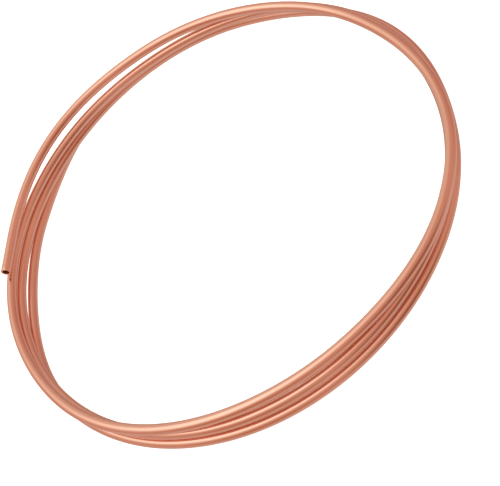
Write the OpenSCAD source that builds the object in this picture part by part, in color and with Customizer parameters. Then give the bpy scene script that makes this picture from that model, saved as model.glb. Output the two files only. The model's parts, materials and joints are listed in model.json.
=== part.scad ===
// Open coil of soft copper tube, lying flat, with both ends cut square

/* [Tube] */
// Outside diameter of the tube
tube_od = 6; // [4:0.5:10]
// Wall thickness of the tube
wall = 1; // [0.6:0.1:1.4]
// Straight run at each cut end
end_run = 20; // [12:1:30]
// Chamfer that the tube cutter leaves on the edges of an end
end_chamfer = 0.2; // [0.05:0.05:0.25]

/* [Coil] */
// Mean diameter of one turn
coil_d = 275; // [220:5:400]
// Turns between the two straight runs
turns = 3.13; // [2.2:0.01:4.8]
// Clear height between a turn and the turn on top of it
turn_gap = 0.3; // [0.2:0.05:1.5]
// Part of a turn in which the tube steps down to the next layer, in degrees
step_sweep = 120; // [60:5:180]

/* [Loose lay] */
// Heading of the upper end, in degrees from +X
upper_heading = 139; // [-180:1:180]
// Clear height that the upper end keeps above the turn below it
upper_end_rise = 0.8; // [0.6:0.1:4]
// Height by which the upper end's first stretch springs up
spring_rise = 2; // [0:0.5:15]
// Length of that stretch, in degrees of the turn
spring_sweep = 110; // [60:10:180]
// Distance by which the lower end springs outwards
splay = 10.5; // [8:0.5:20]
// Length of the stretch that springs outwards, in degrees of the turn
splay_sweep = 35; // [30:5:120]

/* [Hidden] */
$fn = 96;
copper = [0.78, 0.47, 0.34];

// Sizes of the section
outer_r = tube_od / 2;
bore_r = outer_r - wall;
pitch = tube_od + turn_gap;

// The tube is a chain of arcs. Every second arc is thicker by a hair, and laps over its neighbours
lap = 0.5;
lap_skin = 0.01;

// The route is measured in degrees of turn from the upper end's straight run
turn_r = coil_d / 2;
sweep = 360 * turns;
floor_z = outer_r + lap_skin;
span_sweep = 30;
last_sweep = 4;
spans = ceil((sweep - last_sweep) / span_sweep);
end_sweep = end_run / turn_r * 180 / PI;
whole_turns = ceil(turns);

// Places where soft tube sways off the true circle, each as [middle, half length, distance outwards].
// The first list counts degrees on from the upper end, and the second counts them back from the lower end
upper_sways = [
    [30, 35, 4], [115, 95, -4.5], [180, 50, 4.5], [250, 55, -5], [355, 40, 2], [430, 45, -4], [545, 30, 1]
];
lower_sways = [[0, splay_sweep, splay], [60, 35, -4], [200, 70, 1.5], [275, 40, 4], [490, 100, -2.5]];
sways = concat(upper_sways, [for (s = lower_sways) [sweep - s[0], s[1], s[2]]]);

function unit(v) = v / norm(v);

// Eases from 0 to 1 as x goes from 0 to 1
function ease(x) =
    let (s = min(max(x, 0), 1))
    s * s * s * (s * (6 * s - 15) + 10);

// Swells from 0 at x = -1 to 1 at x = 0, and back to 0 at x = 1
function swell(x) = abs(x) < 1 ? pow(cos(90 * x), 2) : 0;

function total(list, i = 0) = i < len(list) ? list[i] + total(list, i + 1) : 0;

// Number of layers under the tube: each turn steps down just past the lower end's tip
function layer(u) =
    let (step_ends = [for (k = [1:whole_turns]) sweep + end_sweep + step_sweep - 360 * k])
    total([for (step_end = step_ends) ease((step_end - u) / step_sweep)]);

// Extra height of the springy upper end
function spring(u) =
    let (x = u / spring_sweep)
    upper_end_rise * (1 - ease(x)) + spring_rise * swell(2 * x - 1);

function sway(u) = total([for (s = sways) s[2] * swell((u - s[0]) / s[1])]);

// Centre line of the tube about the turns' own axis
function lay(u) =
    let (
        r = turn_r + sway(u),
        heading = upper_heading - u
    )
    [r * cos(heading), r * sin(heading), floor_z + pitch * layer(u) + spring(u)];

function halfway(places) = (min(places) + max(places)) / 2;

// Centre line with the middle of the turns' box over the origin
turn_points = [for (u = [0:sweep]) lay(u)];
box_middle = [halfway([for (p = turn_points) p[0]]), halfway([for (p = turn_points) p[1]]), 0];
function route(u) = lay(u) - box_middle;

function run(u) = unit(route(u + 0.01) - route(u - 0.01));

// Two arcs, each as [start, direction, end], that join two points smoothly
function arc_pair(p, p_run, q, q_run) =
    let (
        chord = q - p,
        along = chord * (p_run + q_run),
        bend = 2 * (1 - p_run * q_run),
        d = (sqrt(along * along + bend * (chord * chord)) - along) / bend,
        middle = (p + q + d * (p_run - q_run)) / 2,
        middle_run = unit(chord - d * (p_run + q_run))
    )
    [[p, p_run, middle], [middle, middle_run, q]];

// Every span is a pair of arcs, apart from a short last one
stations = concat([for (i = [0:spans]) (sweep - last_sweep) * i / spans], [sweep]);
stops = [for (u = stations) route(u)];
runs = [for (u = stations) run(u)];
arcs = concat(
    [for (i = [0:spans - 1]) each arc_pair(stops[i], runs[i], stops[i + 1], runs[i + 1])],
    [[stops[spans], runs[spans], stops[spans + 1]]]
);

// Direction in which the last arc leaves its end
function leaving(arc) =
    let (c = unit(arc[2] - arc[0]))
    2 * (arc[1] * c) * c - arc[1];

// Ring of the tube's section
module section(skin) {
    difference() {
        circle(r = outer_r + skin);
        circle(r = bore_r - skin);
    }
}

// Tube bent along one arc
module bend(arc, thick) {
    chord = arc[2] - arc[0];
    ahead = arc[1];
    inward = unit(chord - (chord * ahead) * ahead);
    r = (chord * chord) / (2 * (chord * inward));
    angle = 2 * atan2(chord * inward, chord * ahead);
    spare = thick ? 0 : lap / r * 180 / PI;
    axis = cross(-inward, ahead);
    centre = arc[0] + r * inward;
    multmatrix([for (i = [0:2]) [-inward[i], ahead[i], axis[i], centre[i]]])
        rotate_extrude(angle = angle + 2 * spare, start = -spare)
            translate([r, 0])
                section(thick ? lap_skin : 0);
}

// Straight run with a square cut end, from a point and along a direction
module straight_end(p, ahead) {
    side = unit(cross([0, 0, 1], ahead));
    up = cross(ahead, side);
    multmatrix([for (i = [0:2]) [side[i], up[i], ahead[i], p[i]]])
        rotate_extrude()
            polygon([
                [bore_r, -lap],
                [outer_r, -lap],
                [outer_r, end_run - end_chamfer],
                [outer_r - end_chamfer, end_run],
                [bore_r + end_chamfer, end_run],
                [bore_r, end_run - end_chamfer]
            ]);
}

// The whole length of tube
module copper_tube() {
    color(copper) {
        straight_end(stops[0], -runs[0]);
        for (i = [0:len(arcs) - 1])
            bend(arcs[i], i % 2 == 0);
        straight_end(stops[spans + 1], leaving(arcs[len(arcs) - 1]));
    }
}

copper_tube();
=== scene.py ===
"""Looks of an open coil of soft copper tube that lies on a pale floor.

The tube is drawn straight, cut, deburred and then wound along the route of the coil, as the real one is.
Its finishes live on the straight tube, so that the drawing lines follow the bends.
"""

import json
import logging
import math
from dataclasses import dataclass, field
from enum import Enum

import bpy
from mathutils import Matrix, Vector

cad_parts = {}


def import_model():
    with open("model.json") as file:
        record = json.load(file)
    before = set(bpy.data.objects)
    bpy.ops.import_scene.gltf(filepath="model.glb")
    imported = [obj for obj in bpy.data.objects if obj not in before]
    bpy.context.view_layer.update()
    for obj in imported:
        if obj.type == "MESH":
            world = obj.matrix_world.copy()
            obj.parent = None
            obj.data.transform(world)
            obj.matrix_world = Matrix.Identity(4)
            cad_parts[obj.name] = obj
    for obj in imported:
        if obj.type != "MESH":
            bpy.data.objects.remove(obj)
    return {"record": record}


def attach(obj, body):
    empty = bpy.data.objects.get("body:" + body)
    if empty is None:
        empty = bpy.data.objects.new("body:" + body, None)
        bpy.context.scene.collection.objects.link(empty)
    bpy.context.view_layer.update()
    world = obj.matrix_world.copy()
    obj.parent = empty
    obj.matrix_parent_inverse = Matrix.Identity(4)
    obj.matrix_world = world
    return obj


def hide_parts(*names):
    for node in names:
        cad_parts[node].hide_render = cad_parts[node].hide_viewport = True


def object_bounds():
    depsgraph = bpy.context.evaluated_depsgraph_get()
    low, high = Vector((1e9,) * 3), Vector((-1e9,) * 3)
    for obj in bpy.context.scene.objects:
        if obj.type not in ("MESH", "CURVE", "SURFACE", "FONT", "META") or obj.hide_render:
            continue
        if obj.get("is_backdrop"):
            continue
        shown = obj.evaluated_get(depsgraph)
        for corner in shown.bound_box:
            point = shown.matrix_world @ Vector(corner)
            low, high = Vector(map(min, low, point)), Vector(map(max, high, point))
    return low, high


LOG = logging.getLogger("copper_coil")
MM = 0.001
TUBE_NODE = "copper_tube"
TUBE_PIECE = "drawn_tube"
STRAIGHT_PLACE = "straight_place"

Colour = tuple[float, float, float]
Point = tuple[float, float, float]
Sway = tuple[float, float, float]
# A colour with its alpha, or the socket that gives one
Paint = tuple[float, float, float, float] | bpy.types.NodeSocket

WHITE: Colour = (1.0, 1.0, 1.0)

# Places of the sockets for colours on Blender's mix node
MIX_SHARE = 0
MIX_UNDER = 6
MIX_OVER = 7
MIX_RESULT = 2


class Wall(Enum):
    """Surfaces of the tube, each with its place among the tube's materials."""

    OUTSIDE = 0
    BORE = 1
    CUT = 2


def clamp(x: float) -> float:
    """Holds a number between 0 and 1.

    Args:
        x: The number.

    Returns:
        The nearest number from 0 to 1.
    """
    return min(max(x, 0.0), 1.0)


def ease(x: float) -> float:
    """Eases from 0 to 1, without a jolt at either end.

    Args:
        x: Place along the way, from 0 to 1.

    Returns:
        The eased place, which is 0 before the way and 1 after it.
    """
    s = clamp(x)
    return s * s * s * (s * (6 * s - 15) + 10)


def swell(x: float) -> float:
    """Swells from 0 to 1 and back to 0.

    Args:
        x: Place along the way, from -1 through 0 to 1.

    Returns:
        The height, which is 1 in the middle and 0 at the ends and past them.
    """
    return math.cos(math.pi / 2 * x) ** 2 if abs(x) < 1 else 0.0


def activate(piece: bpy.types.Object) -> None:
    """Selects one object alone and makes it the active one.

    Args:
        piece: The object that the next operators act on.
    """
    bpy.ops.object.select_all(action="DESELECT")
    piece.select_set(True)
    bpy.context.view_layer.objects.active = piece


def apply_modifier(piece: bpy.types.Object, kind: str, **settings: object) -> None:
    """Adds a modifier to a piece and applies it.

    Args:
        piece: The mesh object.
        kind: Blender's name for the kind of modifier.
        settings: Values of the modifier's own properties.
    """
    activate(piece)
    modifier = piece.modifiers.new(kind.title(), kind)
    for name, value in settings.items():
        setattr(modifier, name, value)
    bpy.ops.object.modifier_apply(modifier=modifier.name)


@dataclass
class NodeSheet:
    """Node tree of one material or world, with short ways to add nodes and join them.

    Attributes:
        tree: The node tree, emptied at the start.
    """

    tree: bpy.types.NodeTree

    def __post_init__(self) -> None:
        """Empties the tree."""
        self.tree.nodes.clear()

    def add(
        self,
        kind: str,
        inputs: dict[str | int, object] | None = None,
        **settings: object,
    ) -> bpy.types.Node:
        """Adds one node.

        Args:
            kind: Blender's type name of the node.
            inputs: For each input, by name or place, a value or the output socket that feeds it.
            settings: Values of the node's own properties.

        Returns:
            The new node.
        """
        node = self.tree.nodes.new(kind)
        for name, value in settings.items():
            setattr(node, name, value)
        for name, value in (inputs or {}).items():
            if isinstance(value, bpy.types.NodeSocket):
                self.tree.links.new(value, node.inputs[name])
            else:
                node.inputs[name].default_value = value
        return node

    def blend(self, share: bpy.types.NodeSocket, under: Paint, over: Paint) -> bpy.types.NodeSocket:
        """Lays one colour over another by its share, from 0 to 1, and gives the result's socket."""
        inputs = {MIX_SHARE: share, MIX_UNDER: under, MIX_OVER: over}
        return self.add("ShaderNodeMix", inputs, data_type="RGBA").outputs[MIX_RESULT]


@dataclass(frozen=True)
class CopperFinish:
    """Finish of one copper surface, drawn out along the tube.

    Attributes:
        name: Name of the material.
        clean: Colour of the bare metal.
        aged: Colour where handling and air have dulled it.
        roughness: Mean roughness.
        roughness_spread: Most that the drawing lines add to the roughness or take from it.
        line_width: Width of a drawing line, in metres.
        line_stretch: Length of a line or ridge, in widths.
        line_depth: Depth of the drawing lines, in metres.
        ridge_width: Width of one of the die's broad ridges, in metres.
        ridge_depth: Depth of the ridges, in metres.
        patch_size: Length of a duller patch, in metres.
        line_range: Values of the lines' noise at the smoothest and at the roughest metal.
        line_detail: Fineness of the lines and ridges, in octaves of noise.
        patch_range: Values of the patches' noise where the metal starts to dull and where it is dullest.
        patch_detail: Fineness of the patches, in octaves of noise.
    """

    name: str
    clean: Colour
    aged: Colour
    roughness: float
    roughness_spread: float
    line_width: float
    line_stretch: float
    line_depth: float
    ridge_width: float
    ridge_depth: float
    patch_size: float
    line_range: tuple[float, float] = (0.25, 0.75)
    line_detail: float = 3.0
    patch_range: tuple[float, float] = (0.35, 0.7)
    patch_detail: float = 4.0

    def material(self) -> bpy.types.Material:
        """Makes the material.

        Returns:
            A material whose pattern lies on the straight tube.
        """
        made = bpy.data.materials.new(self.name)
        made.use_nodes = True
        sheet = NodeSheet(made.node_tree)
        place = sheet.add("ShaderNodeAttribute", attribute_name=STRAIGHT_PLACE).outputs["Vector"]
        lines = self._drawn_out(sheet, place, self.line_width)
        ridges = self._drawn_out(sheet, place, self.ridge_width)
        patches = sheet.add(
            "ShaderNodeTexNoise",
            {"Vector": place, "Scale": 1 / self.patch_size, "Detail": self.patch_detail},
        )
        dull_from, dull_to = self.patch_range
        dulled = sheet.add(
            "ShaderNodeMapRange",
            {"Value": patches.outputs["Fac"], "From Min": dull_from, "From Max": dull_to},
        )
        colour = sheet.blend(dulled.outputs[0], (*self.clean, 1.0), (*self.aged, 1.0))
        smooth_at, rough_at = self.line_range
        roughness = sheet.add(
            "ShaderNodeMapRange",
            {
                "Value": lines,
                "From Min": smooth_at,
                "From Max": rough_at,
                "To Min": self.roughness - self.roughness_spread,
                "To Max": self.roughness + self.roughness_spread,
            },
        )
        ridged = sheet.add(
            "ShaderNodeBump",
            {"Height": ridges, "Distance": self.ridge_depth, "Strength": 1.0},
        )
        bump = sheet.add(
            "ShaderNodeBump",
            {"Height": lines, "Distance": self.line_depth, "Strength": 1.0, "Normal": ridged.outputs[0]},
        )
        shader = sheet.add(
            "ShaderNodeBsdfPrincipled",
            {
                "Base Color": colour,
                "Metallic": 1.0,
                "Roughness": roughness.outputs[0],
                "Normal": bump.outputs[0],
            },
        )
        sheet.add("ShaderNodeOutputMaterial", {"Surface": shader.outputs[0]})
        return made

    def _drawn_out(
        self,
        sheet: NodeSheet,
        place: bpy.types.NodeSocket,
        width: float,
    ) -> bpy.types.NodeSocket:
        """Makes a noise that is drawn out along the tube.

        Args:
            sheet: The material's nodes.
            place: Socket of the place on the straight tube.
            width: Width of one line of the noise, in metres.

        Returns:
            Socket of the noise, from 0 to 1.
        """
        length = width * self.line_stretch
        scale = (1 / length, 1 / width, 1 / width)
        drawn = sheet.add("ShaderNodeMapping", {"Vector": place, "Scale": scale})
        noise = sheet.add(
            "ShaderNodeTexNoise",
            {"Vector": drawn.outputs[0], "Scale": 1.0, "Detail": self.line_detail},
        )
        return noise.outputs["Fac"]


DRAWN_OUTSIDE = CopperFinish(
    name="drawn_copper",
    clean=(0.97, 0.66, 0.56),
    aged=(0.94, 0.61, 0.51),
    roughness=0.24,
    roughness_spread=0.05,
    line_width=0.25 * MM,
    line_stretch=150,
    line_depth=0.004 * MM,
    ridge_width=1.2 * MM,
    ridge_depth=0.05 * MM,
    patch_size=60 * MM,
)
DULL_BORE = CopperFinish(
    name="dull_bore_copper",
    clean=(0.42, 0.17, 0.10),
    aged=(0.25, 0.10, 0.06),
    roughness=0.6,
    roughness_spread=0.08,
    line_width=0.3 * MM,
    line_stretch=80,
    line_depth=0.008 * MM,
    ridge_width=1.0 * MM,
    ridge_depth=0.01 * MM,
    patch_size=15 * MM,
)
FRESH_CUT = CopperFinish(
    name="fresh_cut_copper",
    clean=(0.97, 0.60, 0.45),
    aged=(0.93, 0.50, 0.36),
    roughness=0.3,
    roughness_spread=0.06,
    line_width=0.12 * MM,
    line_stretch=1,
    line_depth=0.006 * MM,
    ridge_width=0.5 * MM,
    ridge_depth=0.005 * MM,
    patch_size=2 * MM,
)
FINISHES = {Wall.OUTSIDE: DRAWN_OUTSIDE, Wall.BORE: DULL_BORE, Wall.CUT: FRESH_CUT}


@dataclass(frozen=True)
class CoilRoute:
    """Centre line of the coil, from the tip of the upper end to the tip of the lower one.

    Angles are degrees of turn, counted from the upper end's straight run, and lengths are in millimetres.

    Attributes:
        turn_r: Radius of a true turn.
        turns: Turns between the two straight runs.
        pitch: Height from one layer to the next.
        floor_z: Height of the lowest layer's centre line.
        step_sweep: Part of a turn in which the tube steps down a layer.
        upper_heading: Heading of the upper end, from +X.
        upper_end_rise: Extra height of the upper end.
        spring_rise: Height by which the first stretch springs up.
        spring_sweep: Length of that stretch.
        end_run: Straight run at each end.
        upper_sways: Places where the tube leaves the true circle, counted from the upper end, each as its
            middle, its half length and its distance outwards.
        lower_sways: The same, counted back from the lower end.
        spacing: Distance between the points of the centre line.
    """

    turn_r: float = 137.5
    turns: float = 3.13
    pitch: float = 6.3
    floor_z: float = 3.01
    step_sweep: float = 120.0
    upper_heading: float = 139.0
    upper_end_rise: float = 0.8
    spring_rise: float = 2.0
    spring_sweep: float = 110.0
    end_run: float = 20.0
    upper_sways: tuple[Sway, ...] = (
        (30, 35, 4),
        (115, 95, -4.5),
        (180, 50, 4.5),
        (250, 55, -5),
        (355, 40, 2),
        (430, 45, -4),
        (545, 30, 1),
    )
    lower_sways: tuple[Sway, ...] = (
        (0, 35, 10.5),
        (60, 35, -4),
        (200, 70, 1.5),
        (275, 40, 4),
        (490, 100, -2.5),
    )
    spacing: float = 2.0

    @property
    def sweep(self) -> float:
        """Degrees of turn between the two straight runs."""
        return 360 * self.turns

    def layer(self, u: float) -> float:
        """Counts the layers under the tube.

        Args:
            u: Degrees of turn from the upper end's straight run.

        Returns:
            The number of layers, with a part of one while the tube steps down.
        """
        first_step_end = self.sweep + math.degrees(self.end_run / self.turn_r) + self.step_sweep
        whole_turns = range(1, math.ceil(self.turns) + 1)
        return sum(ease((first_step_end - 360 * k - u) / self.step_sweep) for k in whole_turns)

    def spring(self, u: float) -> float:
        """Gives the springy upper end's extra height at u degrees of turn, in millimetres."""
        x = u / self.spring_sweep
        return self.upper_end_rise * (1 - ease(x)) + self.spring_rise * swell(2 * x - 1)

    def sway(self, u: float) -> float:
        """Gives the distance outwards from the true circle.

        Args:
            u: Degrees of turn from the upper end's straight run.

        Returns:
            The distance, in millimetres, below 0 where the tube lies inside the circle.
        """
        back = self.sweep - u
        near_upper = sum(out * swell((u - middle) / half) for middle, half, out in self.upper_sways)
        near_lower = sum(out * swell((back - middle) / half) for middle, half, out in self.lower_sways)
        return near_upper + near_lower

    def lay(self, u: float) -> Vector:
        """Places the centre line at u degrees, about the turns' own axis.

        Args:
            u: Degrees of turn from the upper end's straight run.

        Returns:
            The point, in metres.
        """
        heading = math.radians(self.upper_heading - u)
        r = self.turn_r + self.sway(u)
        z = self.floor_z + self.pitch * self.layer(u) + self.spring(u)
        return Vector((r * math.cos(heading), r * math.sin(heading), z)) * MM

    def box_middle(self) -> Vector:
        """Finds the middle of the turns' box, seen from above.

        Returns:
            The middle at the height of the floor, in metres.
        """
        laid = [self.lay(u) for u in range(math.floor(self.sweep) + 1)]
        x, y = ((min(side) + max(side)) / 2 for side in zip(*(p.xy for p in laid)))
        return Vector((x, y, 0.0))

    def points(self) -> list[Vector]:
        """Lists the points of the centre line.

        Returns:
            Points in metres, close enough together for a smooth tube.
        """
        count = round(math.radians(self.sweep) * self.turn_r / self.spacing)
        middle = self.box_middle()
        turn = [self.lay(self.sweep * i / count) - middle for i in range(count + 1)]
        before = (turn[0] - turn[1]).normalized()
        after = (turn[-1] - turn[-2]).normalized()
        steps = [self.spacing * i * MM for i in range(1, round(self.end_run / self.spacing) + 1)]
        upper_end = [turn[0] + before * step for step in reversed(steps)]
        lower_end = [turn[-1] + after * step for step in steps]
        return upper_end + turn + lower_end


@dataclass
class CopperTube:
    """One length of drawn copper tube, cut square at both ends and wound along a route.

    Attributes:
        route: Centre line of the wound tube.
        outer_r: Outside radius, in metres.
        wall: Wall thickness, in metres.
        end_chamfer: Chamfer on the edges of a cut end, in metres.
        chamfer_steps: Faces across the chamfer.
        sharp_angle: Angle past which an edge gets the chamfer, in degrees.
        smooth_angle: Angle up to which neighbouring faces are shaded as one, in degrees.
        sides: Sides of the round section.
        cuts: Numbers of cuts across each lengthwise edge, in two passes.
        piece: The finished object, once it is built.
    """

    route: CoilRoute
    outer_r: float
    wall: float = 1.0 * MM
    end_chamfer: float = 0.2 * MM
    chamfer_steps: int = 2
    sharp_angle: float = 40.0
    smooth_angle: float = 30.0
    sides: int = 40
    cuts: tuple[int, int] = (99, 9)
    piece: bpy.types.Object | None = field(default=None, init=False)

    @property
    def length(self) -> float:
        """Length of the tube along its route, in metres."""
        points = self.route.points()
        return sum((b - a).length for a, b in zip(points, points[1:]))

    def build(self) -> bpy.types.Object:
        """Draws the tube straight, hollows it, deburrs its ends and winds it.

        Returns:
            The tube's object, at the origin.
        """
        self._draw_straight()
        apply_modifier(
            self.piece,
            "SOLIDIFY",
            thickness=self.wall,
            offset=-1.0,
            use_even_offset=True,
            material_offset=Wall.BORE.value,
            material_offset_rim=Wall.CUT.value,
        )
        apply_modifier(
            self.piece,
            "BEVEL",
            width=self.end_chamfer,
            segments=self.chamfer_steps,
            limit_method="ANGLE",
            angle_limit=math.radians(self.sharp_angle),
            material=Wall.CUT.value,
        )
        self._keep_straight_place()
        self._wind()
        activate(self.piece)
        bpy.ops.object.shade_smooth_by_angle(angle=math.radians(self.smooth_angle))
        return self.piece

    def _draw_straight(self) -> None:
        """Makes the outside of the straight tube along +X, cut lengthwise into short quads."""
        length = self.length
        bpy.ops.object.select_all(action="DESELECT")
        bpy.ops.mesh.primitive_cylinder_add(
            vertices=self.sides,
            radius=self.outer_r,
            depth=length,
            end_fill_type="NOTHING",
            location=(length / 2, 0, 0),
            rotation=(0, math.radians(90), 0),
        )
        self.piece = bpy.context.active_object
        self.piece.name = TUBE_PIECE
        self.piece.data.name = TUBE_PIECE
        bpy.ops.object.transform_apply(location=True, rotation=True, scale=True)
        for wall in Wall:
            self.piece.data.materials.append(FINISHES[wall].material())
        for number in self.cuts:
            self._select_lengthwise_edges()
            bpy.ops.object.mode_set(mode="EDIT")
            bpy.ops.mesh.subdivide(number_cuts=number)
            bpy.ops.object.mode_set(mode="OBJECT")

    def _select_lengthwise_edges(self) -> None:
        """Selects the edges that run along the straight tube, and nothing else."""
        activate(self.piece)
        bpy.ops.object.mode_set(mode="EDIT")
        bpy.ops.mesh.select_mode(type="EDGE")
        bpy.ops.mesh.select_all(action="DESELECT")
        bpy.ops.object.mode_set(mode="OBJECT")
        mesh = self.piece.data
        for edge in mesh.edges:
            a, b = (mesh.vertices[i].co for i in edge.vertices)
            edge.select = abs(a.x - b.x) > self.wall

    def _keep_straight_place(self) -> None:
        """Stores each vertex's place on the straight tube, which the finishes read."""
        mesh = self.piece.data
        kept = mesh.attributes.new(STRAIGHT_PLACE, "FLOAT_VECTOR", "POINT")
        flat = [x for vertex in mesh.vertices for x in vertex.co]
        kept.data.foreach_set("vector", flat)

    def _wind(self) -> None:
        """Bends the straight tube along the route."""
        points = self.route.points()
        path = bpy.data.curves.new("winding_path", "CURVE")
        path.dimensions = "3D"
        path.twist_mode = "Z_UP"
        spline = path.splines.new("POLY")
        spline.points.add(len(points) - 1)
        spline.points.foreach_set("co", [x for p in points for x in (*p, 1.0)])
        guide = bpy.data.objects.new("winding_path", path)
        bpy.context.scene.collection.objects.link(guide)
        apply_modifier(self.piece, "CURVE", object=guide, deform_axis="POS_X")
        bpy.data.objects.remove(guide)
        bpy.data.curves.remove(path)

    def dress(self) -> None:
        """Lets the tube stand for the CAD tube, which it hides, and ride on its body."""
        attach(self.piece, "root")
        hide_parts(TUBE_NODE)


@dataclass(frozen=True)
class Softbox:
    """One soft studio lamp.

    Attributes:
        name: Name of the lamp.
        place: Where it hangs, in metres.
        aim: Point that it faces, in metres.
        size: Width and height, in metres.
        power: Power, in watts.
        colour: Colour of its light.
    """

    name: str
    place: Point
    aim: Point
    size: tuple[float, float]
    power: float
    colour: Colour = WHITE

    def hang(self) -> bpy.types.Object:
        """Makes the lamp.

        Returns:
            The lamp's object.
        """
        lamp = bpy.data.lights.new(self.name, "AREA")
        lamp.shape = "RECTANGLE"
        lamp.size, lamp.size_y = self.size
        lamp.energy = self.power
        lamp.color = self.colour
        hung = bpy.data.objects.new(self.name, lamp)
        hung.location = self.place
        facing = Vector(self.aim) - Vector(self.place)
        hung.rotation_euler = facing.to_track_quat("-Z", "Y").to_euler()
        bpy.context.scene.collection.objects.link(hung)
        return hung


@dataclass(frozen=True)
class PhotoCamera:
    """Camera at the photograph's view.

    Attributes:
        target: Point that the camera looks at, in metres.
        distance: Distance to that point, in metres.
        elevation: Height above the horizon, in degrees.
        roll: Turn about the line of sight, in degrees.
        lens: Focal length, in millimetres.
        sensor_width: Width of the sensor, in millimetres.
        clip_start: Nearest distance that shows, in metres.
    """

    target: Point = (-3.1 * MM, -44.0 * MM, 12.0 * MM)
    distance: float = 649.1 * MM
    elevation: float = 46.84
    roll: float = 45.05
    lens: float = 86.8
    sensor_width: float = 36.0
    clip_start: float = 0.01

    def stand(self) -> bpy.types.Object:
        """Makes the camera and sets it as the scene's own.

        Returns:
            The camera's object.
        """
        e = math.radians(self.elevation)
        right = Vector((1, 0, 0))
        up = Vector((0, math.sin(e), math.cos(e)))
        back = Vector((0, -math.cos(e), math.sin(e)))
        upright = Matrix((right, up, back)).transposed()
        turned = upright @ Matrix.Rotation(math.radians(-self.roll), 3, "Z")
        sensor = bpy.data.cameras.new("photo_camera")
        sensor.lens = self.lens
        sensor.sensor_width = self.sensor_width
        sensor.clip_start = self.clip_start
        camera = bpy.data.objects.new("photo_camera", sensor)
        place = Vector(self.target) + back * self.distance
        camera.matrix_world = Matrix.Translation(place) @ turned.to_4x4()
        bpy.context.scene.collection.objects.link(camera)
        bpy.context.scene.camera = camera
        return camera


@dataclass(frozen=True)
class TentPatch:
    """Round patch of the surroundings, strongest in the middle and faded out at its edge.

    Attributes:
        colour: Colour in the middle.
        toward: Direction of the middle.
        reach: Angle from the middle to the edge, in degrees.
    """

    colour: Colour
    toward: Point
    reach: float

    def lay_over(
        self,
        sheet: NodeSheet,
        ray: bpy.types.NodeSocket,
        below: Paint,
    ) -> bpy.types.NodeSocket:
        """Blends the patch in over what lies below it.

        Args:
            sheet: The world's nodes.
            ray: Socket of the ray's direction.
            below: Colour or socket that the patch lies over.

        Returns:
            Socket of the blended colour.
        """
        middle = tuple(Vector(self.toward).normalized())
        nearness = sheet.add("ShaderNodeVectorMath", {0: ray, 1: middle}, operation="DOT_PRODUCT")
        edge = math.cos(math.radians(self.reach))
        share = sheet.add(
            "ShaderNodeMapRange",
            {"Value": nearness.outputs["Value"], "From Min": edge, "From Max": 1.0},
        )
        return sheet.blend(share.outputs[0], below, (*self.colour, 1.0))


@dataclass(frozen=True)
class LightTent:
    """Soft warm surroundings of the coil.

    Attributes:
        room: Colour of the room.
        patches: Lighter and darker patches, each over the ones before it.
    """

    room: Colour = (0.60, 0.33, 0.24)
    patches: tuple[TentPatch, ...] = (
        # Pale wall behind the coil
        TentPatch(colour=(0.75, 0.65, 0.55), toward=(0.2, 1.0, -0.2), reach=60),
        # Dim corner at the back, on the right
        TentPatch(colour=(0.45, 0.20, 0.15), toward=(0.8, 0.6, -0.3), reach=60),
        # Dim side of the room, left of the camera
        TentPatch(colour=(0.45, 0.20, 0.10), toward=(-0.7, -0.7, 0.0), reach=35),
        # Darkest side of the room, right of the camera
        TentPatch(colour=(0.25, 0.08, 0.03), toward=(0.4, -0.9, 0.0), reach=40),
        # Floor, as the metal mirrors it
        TentPatch(colour=(0.65, 0.50, 0.45), toward=(0.0, 0.0, -1.0), reach=90),
        # Shade low behind the coil, which the tube's rims mirror
        TentPatch(colour=(0.20, 0.15, 0.10), toward=(0.0, 0.7, -0.7), reach=30),
        # Soft glow overhead, on the left
        TentPatch(colour=(1.05, 0.90, 0.75), toward=(-0.4, 0.2, 0.9), reach=50),
    )

    def pitch(self) -> bpy.types.World:
        """Makes the surroundings.

        Returns:
            The world, lit by direction alone.
        """
        world = bpy.data.worlds.new("light_tent")
        world.use_nodes = True
        sheet = NodeSheet(world.node_tree)
        ray = sheet.add("ShaderNodeTexCoord").outputs["Generated"]
        colour = (*self.room, 1.0)
        for patch in self.patches:
            colour = patch.lay_over(sheet, ray, colour)
        light = sheet.add("ShaderNodeBackground", {"Color": colour})
        sheet.add("ShaderNodeOutputWorld", {"Surface": light.outputs[0]})
        return world


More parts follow.
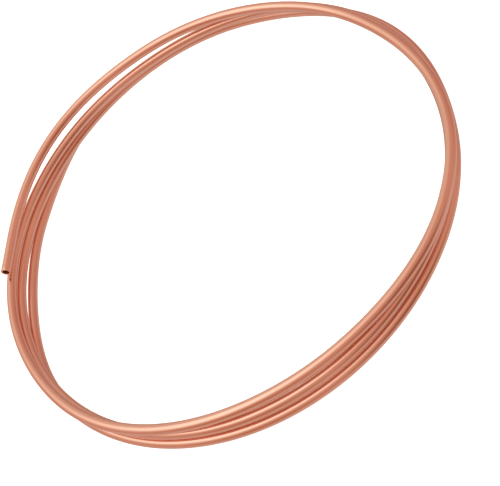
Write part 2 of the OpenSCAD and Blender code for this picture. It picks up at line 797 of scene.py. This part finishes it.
@dataclass
class Studio:
    """Pale floor, soft light and camera around the coil.

    Attributes:
        floor_z: Height of the floor, in metres.
        floor_size: Side of the floor, in metres.
        floor_white: Colour of the floor.
        floor_roughness: Roughness of the floor.
        floor_sheen: Strength of the floor's mirror reflection.
        glow: Light that the floor gives off by itself, as a light table does.
        tent: The surroundings.
        lamps: The soft lamps.
        camera: The camera.
    """

    floor_z: float
    floor_size: float = 8.0
    floor_white: Colour = (0.9, 0.9, 0.9)
    floor_roughness: float = 0.9
    floor_sheen: float = 0.1
    glow: float = 1.0
    tent: LightTent = LightTent()
    lamps: tuple[Softbox, ...] = (
        Softbox(
            name="overhead_softbox",
            place=(-0.6, 0.1, 1.2),
            aim=(0.0, 0.0, 0.0),
            size=(1.1, 1.1),
            power=1.0,
        ),
    )
    camera: PhotoCamera = PhotoCamera()

    def build(self) -> None:
        """Lays the floor, hangs the lamps, and sets the surroundings and the camera."""
        self._lay_floor()
        bpy.context.scene.world = self.tent.pitch()
        for lamp in self.lamps:
            lamp.hang()
            LOG.info("%s: %.0f W", lamp.name, lamp.power)
        self.camera.stand()
        bpy.context.scene.view_settings.view_transform = "Standard"

    def _lay_floor(self) -> None:
        """Makes the plain pale floor."""
        bpy.ops.object.select_all(action="DESELECT")
        bpy.ops.mesh.primitive_plane_add(size=self.floor_size, location=(0, 0, self.floor_z))
        floor = bpy.context.active_object
        floor.name = "pale_floor"
        pale = bpy.data.materials.new("pale_floor")
        pale.use_nodes = True
        sheet = NodeSheet(pale.node_tree)
        shader = sheet.add(
            "ShaderNodeBsdfPrincipled",
            {
                "Base Color": (*self.floor_white, 1.0),
                "Roughness": self.floor_roughness,
                "Specular IOR Level": self.floor_sheen,
                "Emission Color": (*WHITE, 1.0),
                "Emission Strength": self.glow,
            },
        )
        sheet.add("ShaderNodeOutputMaterial", {"Surface": shader.outputs[0]})
        floor.data.materials.append(pale)
        # The metal mirrors the tent's own patch for the floor instead
        floor.visible_glossy = False
        floor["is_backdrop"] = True


def main() -> None:
    """Builds the coil and the studio in order."""
    logging.basicConfig(level=logging.INFO, format="%(name)s: %(message)s")
    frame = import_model()
    cad_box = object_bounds()
    upper_end = frame["record"]["mounts"][0]
    tube = CopperTube(route=CoilRoute(), outer_r=upper_end["dims"]["r_mm"] * MM)
    piece = tube.build()
    tube.dress()
    LOG.info("%s: %.3f m long, %d faces", piece.name, tube.length, len(piece.data.polygons))
    Studio(floor_z=cad_box[0].z).build()


if __name__ == "__main__":
    main()
